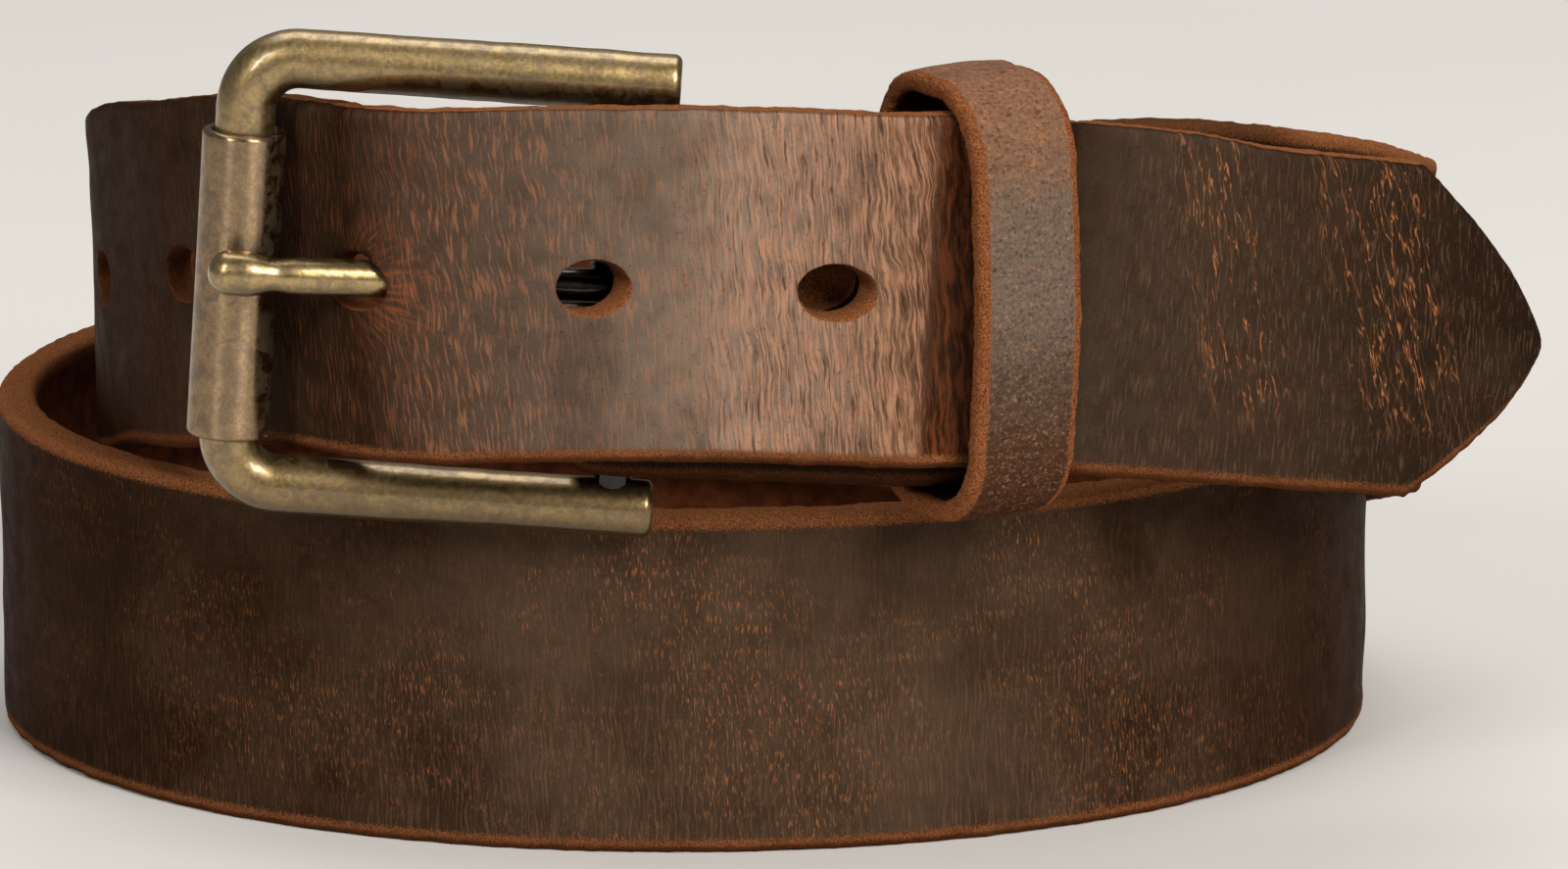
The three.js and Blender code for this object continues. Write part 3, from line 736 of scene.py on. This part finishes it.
    # Raw edges, painted darker as shade where they face down, and darker beside the buckle; the stretch
    # behind the top strap, just past the fold, is painted dark as shade.
    nap = g.noise(place, 5.0, 4.0, 0.7)
    raw = g.mix(g.step(nap, 0.32, 0.68), srgb(92, 50, 25), srgb(166, 106, 66))
    ragged = g.plus(edge, g.times(g.less(nap, 0.5), 1.3))
    raw_share = g.step(ragged, 0.40, 0.80)
    _, _, upward = g.parts(g.node("ShaderNodeNewGeometry").outputs["Normal"])
    # Painted shade on raw edges that face down.
    raw = g.mix(g.step(upward, 0.30, -0.50, 0.0, 0.80), raw, srgb(52, 24, 10))
    raw = g.mix(g.times(g.window(from_bend, -120, -74, 4.0), 0.45), raw, srgb(58, 28, 14))
    color = g.mix(raw_share, color, raw)
    # Painted shade: the strap just past the fold, lying in shadow behind the top strap, is painted nearly
    # black.
    behind = g.step(s, 80, 68)
    color = g.mix(g.times(behind, g.blend(raw_share, 0.85, 0.6)), color, srgb(24, 13, 8))

    pebble = g.cells(g.vector(s, h, 0.0), 1.7)
    grain = g.plus(g.times(pebble, 0.25), g.times(g.noise(g.vector(s, h, 1.0), 3.5, 4.0, 0.65), 0.55))
    grain = g.less(grain, g.times(cracks, 0.8))
    grain = g.less(grain, g.times(hairline, 0.4))
    grain = g.plus(grain, g.times(dense, 0.25), g.times(sparse, 0.15))
    height = g.blend(raw_share, grain, g.times(nap, 1.5))
    normal = g.bump(height, 0.11 * MM)
    polish = g.step(mottle, 0.3, 0.75, 0.44, 0.60)
    rough = g.math("ADD", polish, g.times(raw_share, 0.35), clamp=True)
    return g.finish(color, rough, normal, IOR=1.06, Specular_Tint=srgb(255, 205, 165))


def keeper_leather():
    """Lighter, pebbled leather: orange-tan from wear on top, greyer in the middle, where its paler colour
    carries a painted sheen, brown below.
    """
    g = Graph("keeper_leather")
    edge, inside = g.layer("wear")
    place = g.place()
    x, y, z = g.parts(place)
    wrinkle = g.noise(g.vector(g.times(x, 0.30), g.times(y, 0.30), z), 1.5, 4.0, 0.65, 0.4)
    mottle = g.noise(place, 0.55, 4.0, 0.65)
    speck = g.noise(place, 2.4, 3.0, 0.7)
    drift = g.plus(z, g.times(g.less(mottle, 0.5), 12.0), -KEEPER_BOTTOM)
    # Colour by height: the grey middle band is partly the leather's own paler colour and partly a painted
    # sheen where the bowed front wall faces the viewer.
    color = g.ramp(drift, 0, KEEPER_HEIGHT, [
        (0, srgb(64, 33, 18)), (9, srgb(76, 52, 37)), (17, srgb(86, 70, 58)), (24, srgb(110, 93, 81)),
        (35, srgb(110, 93, 80)), (40, srgb(124, 93, 73)), (48, srgb(131, 93, 71)),
    ])
    top = g.step(drift, 34, 41, 0.25, 1.0)
    color = g.mix(g.times(top, g.step(wrinkle, 0.52, 0.64), 0.55), color, srgb(162, 108, 76))
    color = g.mix(g.times(top, g.step(wrinkle, 0.42, 0.34), 0.6), color, srgb(84, 50, 34))
    color = g.mix(g.step(speck, 0.52, 0.68, 0.0, 0.65), color, srgb(50, 33, 22))
    color = g.mix(g.step(speck, 0.46, 0.32, 0.0, 0.50), color, srgb(176, 130, 98))
    color = g.mix(inside, color, srgb(62, 34, 20))
    nap = g.noise(place, 4.6, 4.0, 0.7)
    raw = g.mix(g.step(nap, 0.32, 0.68), srgb(82, 42, 20), srgb(158, 98, 60))
    raw_share = g.step(g.plus(edge, g.times(g.less(nap, 0.5), 1.0)), 0.40, 0.80)
    color = g.mix(raw_share, color, raw)
    pebble = g.cells(place, 1.25)
    height = g.plus(g.times(pebble, 1.0), g.times(nap, 0.6), g.times(wrinkle, 2.4))
    normal = g.bump(height, 0.20 * MM)
    rough = g.math("ADD", g.step(mottle, 0.3, 0.7, 0.48, 0.64), g.times(raw_share, 0.3), clamp=True)
    return g.finish(color, rough, normal, IOR=1.10, Specular_Tint=srgb(255, 205, 165))


def antique_brass(name, warm, patina, shine=0.32, shade_from=None, turned=0.0):
    """Brass with a brown-violet patina, rubbed bright in places, with painted shade on surfaces that face
    down, and darker towards the bottom. Past the given shade limit, a distance along X in the row frame, it
    is painted black as shade where it lies hidden in the strap. A turned piece has marks round its upright
    axis, which draw its highlights out along that axis."""
    g = Graph(name)
    place = g.place()
    x, _, z = g.parts(place)
    blotch = g.noise(place, 0.55, 4.0, 0.7, 0.6)
    mottle = g.noise(place, 1.7, 4.0, 0.75)
    speck = g.noise(place, 5.0, 2.0, 0.6)
    _, _, upward = g.parts(g.node("ShaderNodeNewGeometry").outputs["Normal"])
    bright = tuple(min(1.0, 1.35 * c) for c in warm[:3]) + (1.0,)
    bare = g.mix(g.step(mottle, 0.36, 0.66), warm, bright)
    dull = g.mix(g.step(mottle, 0.38, 0.62), patina, srgb(92, 78, 76))
    tarnish = g.step(blotch, 0.40, 0.64)
    color = g.mix(g.times(tarnish, 0.6), bare, dull)
    color = g.mix(g.step(speck, 0.62, 0.74, 0.0, 0.45), color, srgb(214, 182, 120))
    color = g.mix(g.step(speck, 0.38, 0.26, 0.0, 0.30), color, srgb(70, 56, 42))
    # Painted shade: surfaces that face down are painted darker.
    color = g.mix(g.step(upward, -0.10, -0.75, 0.0, 0.60), color, srgb(66, 50, 28))
    color = g.mix(g.step(z, 52, 40, 0.0, 0.34), color, srgb(74, 48, 18))
    # Painted shade: past this distance the piece, hidden inside the strap, is painted nearly black.
    if shade_from is not None:
        color = g.mix(g.step(x, shade_from, shade_from + 5), color, srgb(24, 17, 11))
    rough = g.plus(g.times(tarnish, 0.08), g.step(mottle, 0.3, 0.7, shine, shine + 0.08))
    pits = g.plus(g.times(mottle, 0.5), g.times(speck, 0.2), g.times(blotch, 0.8))
    normal = g.bump(pits, 0.03 * MM)
    metal = g.step(tarnish, 0.0, 1.0, 1.0, 0.85)
    tangent = g.node("ShaderNodeTangent", direction_type="RADIAL", axis="Z").outputs[0]
    coat = 0.7 if turned == 0 else 0.15
    return g.finish(color, rough, normal, Metallic=metal, Coat_Weight=coat, Coat_Roughness=0.09,
                    Anisotropic=turned, Anisotropic_Rotation=0.25, Tangent=tangent)


def dark_steel():
    g = Graph("steel")
    place = g.place()
    mottle = g.noise(place, 1.4, 4.0, 0.7)
    brushed = g.noise(place, 6.0, 2.0, 0.6)
    color = g.mix(g.step(mottle, 0.35, 0.68), srgb(66, 59, 52), srgb(34, 28, 23))
    normal = g.bump(brushed, 0.02 * MM)
    return g.finish(color, g.step(mottle, 0.3, 0.7, 0.28, 0.48), normal, Metallic=1.0)


def floor_material():
    g = Graph("floor")
    place = g.place()
    color = g.mix(g.noise(place, 0.01, 2.0, 0.5), srgb(226, 221, 214), srgb(232, 228, 222))
    return g.finish(color, 0.75, g.bump(g.noise(place, 0.4, 2.0, 0.5), 0.02 * MM))


# ---------- the pieces

def put(piece, material, body, slot, *nodes):
    """Finishes a piece: its material, the body it rides on and the CAD nodes it stands for. Its slot argument
    is not used.
    """
    piece.data.materials.clear()
    piece.data.materials.append(material)
    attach(piece, body)
    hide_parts(*nodes)


def strap_relief(distance, height, flesh):
    """Creases across the strap, deepest where it bends into the keeper."""
    near = math.exp(-((distance - BEND_STATION + 4) / 9) ** 2)
    creases = fractal((distance / 1.5, height / 11, 3.0 + flesh), 1.0, 3)
    folds = fractal((distance / 5.0, height / 30, 8.0), 1.0, 2)
    groove = -0.50 * math.exp(-((distance - BEND_STATION - CREASE_FROM - 1.6) / 1.3) ** 2)
    return 0.20 * near * creases + 0.10 * folds + (groove if flesh < 0.5 else 0.0)


def build_strap(material):
    flap = evenly(FLAP_LENGTH, 0)
    foot, across, outward = stations(flap)
    ease = smoothstep(flap, 3, 11)
    heel_y = HEEL_DRAWN[1]
    radius = heel_y - ROUTE[0][1]
    back = mixed(2 * radius, FLAP_BEHIND_MAIN, ease)
    foot = foot - outward * back[:, None]
    inset = FLAP_TAPER * smoothstep(flap, 4, 24)
    fold_length = math.pi * radius
    rows = [(foot, across, -outward, inset, STRAP_WIDTH - inset,
             mixed(FOLD_THICKNESS, FLAP_THICKNESS, ease), -fold_length - flap)]

    angles = math.pi / 2 + np.linspace(0, math.pi, 22)[1:-1]
    outs = np.stack([np.cos(angles), np.sin(angles), np.zeros_like(angles)], axis=-1)
    start_foot, start_across, _ = stations(0)
    centre = np.array([ROUTE[0][0], heel_y, start_foot[0, 2]])
    bend_foot = centre + outs * radius
    bend_foot[:, 2] += radius * np.abs(np.cos(angles)) * math.tan(BUCKLE_TILT)
    rows.append((bend_foot, np.repeat(start_across, len(angles), axis=0), outs,
                 np.zeros(len(angles)), np.full(len(angles), STRAP_WIDTH),
                 np.full(len(angles), FOLD_THICKNESS), -fold_length * (1 - (angles - math.pi / 2) / math.pi)))

    main = evenly(0, SPLIT_STATION)
    foot, across, outward = stations(main)
    rows.append((foot, across, outward, np.zeros(len(main)), np.full(len(main), STRAP_WIDTH),
                 mixed(FOLD_THICKNESS, STRAP_THICKNESS, smoothstep(main, 4, 15)), main))
    foot, across, outward, low, high, thickness, distance = (np.concatenate(column) for column in zip(*rows))
    arris = np.minimum(ARRIS, thickness * 0.36)
    strap = band("belt_strap", foot, across, outward, low, high, thickness, distance, arris, strap_relief)

    middle = STRAP_WIDTH / 2
    punches = []
    for i in (-2, -1, 1, 2):
        at = PRONG_HOLE_STATION + i * HOLE_PITCH
        punches.append(oval_punch(at, middle, HOLE_LENGTH, HOLE_HEIGHT, -6, 6, seed=i))
    along, up = PRONG_HOLE_SHIFT
    at = PRONG_HOLE_STATION + along
    punches.append(oval_punch(at, middle + up, *PRONG_HOLE_SIZE, -6, 6, flare=0.12, slant=0))
    for at in FASTENER_STATIONS:
        size = (FASTENER_HOLE, FASTENER_HOLE)
        punches.append(oval_punch(at, middle, *size, -9, 3, flare=0, ragged=0, slant=0))
    cut(strap, merged(punches))
    cut(strap, prong_rod("prong_room", PRONG_ROOM))
    cut(strap, slot_plug())
    strap.data.shade_smooth()
    put(strap, material, "belt", "strap_leather", "strap")


def slot_plug():
    """The slot through the fold that the prong's eye sits in: an upright-ended bar in the buckle's frame."""
    outline = []
    half_height, start, end = 3.3, -9.5, 5.5
    for centre, turn in ((end - half_height, -1), (start + half_height, 1)):
        for i in range(24):
            angle = math.pi * i / 23 + turn * math.pi / 2
            outline.append((centre + half_height * math.cos(angle), half_height * math.sin(angle)))
    depths = (-6.2, -4.0, -2.0, 0.0, 2.0, 4.0, 9.0)
    points = [(x, y, z + PRONG_HEIGHT) for y in depths for x, z in outline]
    sides = len(outline)
    ends = [np.mean(points[:sides], axis=0), np.mean(points[-sides:], axis=0)]
    vertices = [buckle_point(*p) for p in points + [tuple(e) for e in ends]]
    return raw_inside(new_object("slot", vertices, loft_faces(len(depths), sides)), 0, STRAP_WIDTH / 2)


def build_free_end(material):
    near_point = STRAP_LENGTH - POINT_LENGTH
    last = 0.35
    distance = np.concatenate([
        evenly(SPLIT_STATION + 0.2, near_point)[:-1],
        near_point + (POINT_LENGTH - last) * np.sin(np.linspace(0, math.pi / 2, 46)),
    ])
    foot, across, outward = stations(distance)
    left = np.clip((STRAP_LENGTH - distance) / POINT_LENGTH, 0, 1)
    half = STRAP_WIDTH / 2 * left ** 0.68
    middle = STRAP_WIDTH / 2
    thickness = STRAP_THICKNESS * (1 - 0.25 * smoothstep(distance, STRAP_LENGTH - 6, STRAP_LENGTH))
    arris = np.minimum(ARRIS, 0.8 * half)
    piece = band("belt_free_end", foot, across, outward, middle - half, middle + half,
                 thickness, distance, arris, strap_relief)
    piece.data.materials.clear()
    piece.data.materials.append(material)
    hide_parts("strap_tip")
    foot, across, _ = stations([BEND_STATION + KEEPER_START + KEEPER_LENGTH + 0.8, HINGE_STATION + 10])
    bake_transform(piece)


def keeper_loop_points():
    """The keeper's middle line: (depth, height) of a rounded rectangle whose front wall is bowed."""
    half_deep = (KEEPER_INSIDE + KEEPER_WALL) / 2
    half_high = (KEEPER_HEIGHT - KEEPER_WALL) / 2
    radius = KEEPER_BEND - KEEPER_WALL / 2
    straight_high, straight_deep = 2 * (half_high - radius), 2 * (half_deep - radius)
    quarter = math.pi / 2 * radius
    total = 2 * (straight_high + straight_deep) + 4 * quarter
    points = []
    for i in range(KEEPER_ROWS):
        left = total * i / KEEPER_ROWS
        for side in range(4):
            length = straight_high if side % 2 == 0 else straight_deep
            turn = math.pi / 2 * side
            if left < length + quarter:
                break
            left -= length + quarter
        bent = max(0.0, left - length) / radius
        straight = min(left, length)
        a, b = (half_deep, half_high) if side % 2 == 0 else (half_high, half_deep)
        x = a - radius + radius * math.cos(bent)
        y = -(b - radius) + straight + radius * math.sin(bent)
        points.append((x * math.cos(turn) - y * math.sin(turn), x * math.sin(turn) + y * math.cos(turn)))
    points = np.array(points)
    front = smoothstep(-points[:, 0], 0, half_deep)
    points[:, 0] -= front * KEEPER_BOW * (1 - (points[:, 1] / half_high) ** 2)
    return points


def build_keeper(material):
    path = keeper_loop_points()
    tangent = unit(np.roll(path, -1, axis=0) - np.roll(path, 1, axis=0))
    normal = np.stack([tangent[:, 1], -tangent[:, 0]], axis=-1)
    section = Section(face_points=14, edge_points=2)
    along = np.array([math.cos(TURN), math.sin(TURN), 0])
    behind = np.array([-math.sin(TURN), math.cos(TURN), 0])
    up = np.array([0.0, 0.0, 1.0])
    inner = KEEPER_INSIDE / 2 - STRAP_THICKNESS / 2 - KEEPER_CLEARANCE
    centre = np.array(on_straight(KEEPER_START, inner, KEEPER_BOTTOM + KEEPER_HEIGHT / 2))
    arris = 0.8
    points, wear = [], []
    for i, (deep, high) in enumerate(path):
        for j in range(section.corners):
            place = section.wide[j] * KEEPER_LENGTH + arris * section.wide_arris[j]
            out = section.deep[j] * KEEPER_WALL / 2 + arris * section.deep_arris[j]
            is_edge = section.edge[j] > 0.5
            inset = min(place, KEEPER_LENGTH - place)
            rim = 1.0 if is_edge else max(0.0, 1 - (inset - arris) / 0.9)
            at = (deep, high, place)
            rough = 0.16 * fractal(at, 2.2) + 0.10 * fractal(at, 0.8)
            swell = 0.16 * fractal(at, 5.0) + 0.10 * fractal((deep * 0.3, high, place * 0.2), 1.6)
            crown = 0.35 * (1 - (2 * place / KEEPER_LENGTH - 1) ** 2)
            out += math.copysign(1, section.deep[j]) * (swell * (1 - rim) + rough * rim * 0.5)
            out += crown
            place += (1 if section.wide[j] > 0.5 else -1) * rim * rough
            point = (centre + behind * (deep + normal[i][0] * out) + up * (high + normal[i][1] * out)
                     + along * place)
            points.append(point)
            wear.append((rim, section.flesh[j]))
    faces = loft_faces(len(path), section.corners, closed=True)
    piece = new_object("keeper_loop_leather", to_row(points), faces, {"wear": np.array(wear)})
    put(piece, material, "keeper_loop", "keeper_leather", "keeper")


def frame_line():
    half = ARM_SPREAD / 2
    left = -FRAME_REACH
    pull = CORNER_RADIUS * 0.45
    share = np.linspace(0, 1, 26)[:, None]
    start, bend_a = np.array([left + CORNER_RADIUS, half]), np.array([left + pull, half])
    bend_b, end = np.array([left, half - pull]), np.array([left, half - CORNER_RADIUS])
    corner = ((1 - share) ** 3 * start + 3 * share * (1 - share) ** 2 * bend_a
              + 3 * share ** 2 * (1 - share) * bend_b + share ** 3 * end)
    arm_end = ARM_END - ARM_ROUNDING
    arm = np.stack([np.linspace(arm_end, left + CORNER_RADIUS, 60)[:-1], np.full(59, half)], axis=-1)
    bar = np.stack([np.full(40, left), np.linspace(half - CORNER_RADIUS, 0, 41)[1:]], axis=-1)
    upper = np.vstack([arm, corner, bar])
    lower = (upper * (1, -1))[::-1][1:]
    flat = np.vstack([upper, lower])
    return np.stack([flat[:, 0], np.zeros(len(flat)), flat[:, 1]], axis=-1)


def build_frame(material):
    line = frame_line()
    radii = []
    for x, _, z in line:
        radii.append(ROD_RADIUS + 0.12 * fractal((x, 0, z), 9) + 0.05 * fractal((x, 4, z), 3))
    piece = swept_rod("buckle_frame_casting", line, radii, ARM_ROUNDING, sides=36)
    put(piece, material, "buckle", "antique_brass", "buckle_frame")


def build_roller(material):
    inner = ROD_RADIUS + 0.22
    half = ROLLER_LENGTH / 2
    lip = 0.55
    profile = [(inner, -half + 0.3), (inner + 0.3, -half)]
    for i in range(7):
        angle = math.pi / 2 * i / 6
        profile.append((ROLLER_RADIUS - lip + lip * math.sin(angle), -half + lip - lip * math.cos(angle)))
    for i in range(1, 40):
        height = -half + lip + (ROLLER_LENGTH - 2 * lip) * i / 40
        profile.append((ROLLER_RADIUS - 0.06 * math.sin(math.pi * i / 40), height))
    for i in range(7):
        angle = math.pi / 2 * i / 6
        profile.append((ROLLER_RADIUS - lip + lip * math.cos(angle), half - lip + lip * math.sin(angle)))
    profile += [(inner + 0.3, half), (inner, half - 0.3)]
    piece = turned("roller_sleeve_shell", profile, -FRAME_REACH, -ROLLER_DROP, 72, closed=True)
    put(piece, material, "roller_sleeve", "antique_brass", "roller")


def prong_rod(name, extra=0.0):
    """The prong's rod, ball-ended past the roller; with extra it is the room the rod needs in the strap."""
    rest = ROLLER_RADIUS + PRONG_RADIUS + 0.7
    line = catmull_rom(np.array([
        (-1.0, -2.3, PRONG_HEIGHT), (-12, -3.7, PRONG_HEIGHT), (-24, -5.0, PRONG_HEIGHT),
        (-FRAME_REACH + 6, -rest + 0.5, PRONG_HEIGHT), (-FRAME_REACH + 2, -rest, PRONG_HEIGHT),
        (-FRAME_REACH - 0.3, -rest + 0.15, PRONG_HEIGHT),
    ]), per_span=18)
    bulb = 0.42 * smoothstep(-line[:, 0], FRAME_REACH - 3.8, FRAME_REACH - 1.2)
    waist = -0.26 * np.exp(-((line[:, 0] + FRAME_REACH - 4.6) / 1.2) ** 2)
    radii = PRONG_RADIUS + bulb + waist + extra
    piece = swept_rod(name, line, radii, radii[-1], sides=24)
    return raw_inside(piece, PRONG_HOLE_STATION, STRAP_WIDTH / 2) if extra else piece


def build_prong(material):
    piece = prong_rod("prong_casting")
    eye_radius = HEEL_BAR_RADIUS + 0.3 + 1.7
    profile = [(eye_radius - 0.7, -EYE_HALF_HEIGHT), (eye_radius - 0.25, -2.3), (eye_radius, -1.8)]
    profile += [(radius, -height) for radius, height in profile[::-1]]
    cut(piece, turned("eye", profile, 0, PRONG_HEIGHT, 48), "UNION")
    remesh = piece.modifiers.new("blend", "REMESH")
    remesh.mode = "VOXEL"
    remesh.voxel_size = PRONG_VOXEL * MM
    smooth = piece.modifiers.new("soften", "SMOOTH")
    smooth.factor = 0.5
    smooth.iterations = 6
    apply_modifiers(piece)
    bore = HEEL_BAR_RADIUS + 0.2
    cut(piece, turned("bore", [(bore, -12), (bore, 12)], 0, 0, 48))
    piece.data.shade_smooth()
    put(piece, material, "prong_arm", "antique_brass", "prong")


# ---------- the scene around it

def build_floor():
    half = 3.0
    floor = new_object("floor", [(-half, -half, 0), (half, -half, 0), (half, half, 0), (-half, half, 0)],
                       [(0, 1, 2, 3)], smooth=False)
    floor.data.materials.append(floor_material())


def add_light(name, location, size, energy, color):
    light = bpy.data.lights.new(name, "AREA")
    light.shape = "RECTANGLE"
    light.size, light.size_y = size
    light.energy = energy
    light.color = color
    item = bpy.data.objects.new(name, light)
    item.location = location
    bpy.context.scene.collection.objects.link(item)
    item.rotation_euler = (Vector(LIGHT_TARGET) - item.location).to_track_quat("-Z", "Y").to_euler()


def build_lights():
    for light in LIGHTS:
        add_light(*light)
    world = bpy.data.worlds.new("studio")
    world.use_nodes = True
    background = world.node_tree.nodes["Background"]
    background.inputs["Color"].default_value = srgb(236, 233, 228)
    background.inputs["Strength"].default_value = 0.16
    bpy.context.scene.world = world


def build_camera():
    target = Vector(to_row(CAMERA_TARGET))
    camera = bpy.data.cameras.new("camera")
    camera.sensor_width = 36
    camera.lens = CAMERA_LENS
    camera.clip_start = 0.05
    item = bpy.data.objects.new("camera", camera)
    back = Vector((0, -math.cos(CAMERA_PITCH), math.sin(CAMERA_PITCH)))
    item.location = target + CAMERA_DISTANCE * back
    item.rotation_euler = (math.pi / 2 - CAMERA_PITCH, 0, 0)
    bpy.context.scene.collection.objects.link(item)
    bpy.context.scene.camera = item


def dress_cad_nodes(brass, bar_brass, steel):
    """Materials for the CAD nodes that stay: the heel bar, the staple and the screw fasteners."""
    for node, item in frame["nodes"].items():
        if node.startswith("screw"):
            material = brass
        elif node == "heel_bar":
            material = bar_brass
        elif node == "keeper_staple":
            material = steel
        else:
            continue
        item.data.materials.clear()
        item.data.materials.append(material)


leather = strap_leather()
loop_leather = keeper_leather()
frame_brass = antique_brass("frame_brass", srgb(156, 132, 88), srgb(100, 84, 56))
roller_brass = antique_brass("roller_brass", srgb(148, 124, 94), srgb(112, 92, 76), 0.24, turned=0.85)
prong_brass = antique_brass("prong_brass", srgb(164, 140, 94), srgb(110, 92, 62), 0.26,
                            OFFSET[0] + stations(PRONG_HOLE_STATION)[0][0, 0] + 4)
fastener_brass = antique_brass("fastener_brass", srgb(160, 138, 90), srgb(100, 84, 60))

build_strap(leather)
build_free_end(leather)
build_keeper(loop_leather)
build_frame(frame_brass)
build_roller(roller_brass)
build_prong(prong_brass)
dress_cad_nodes(fastener_brass, prong_brass, dark_steel())
build_floor()
build_lights()
build_camera()
bpy.context.scene.view_settings.view_transform = "Standard"
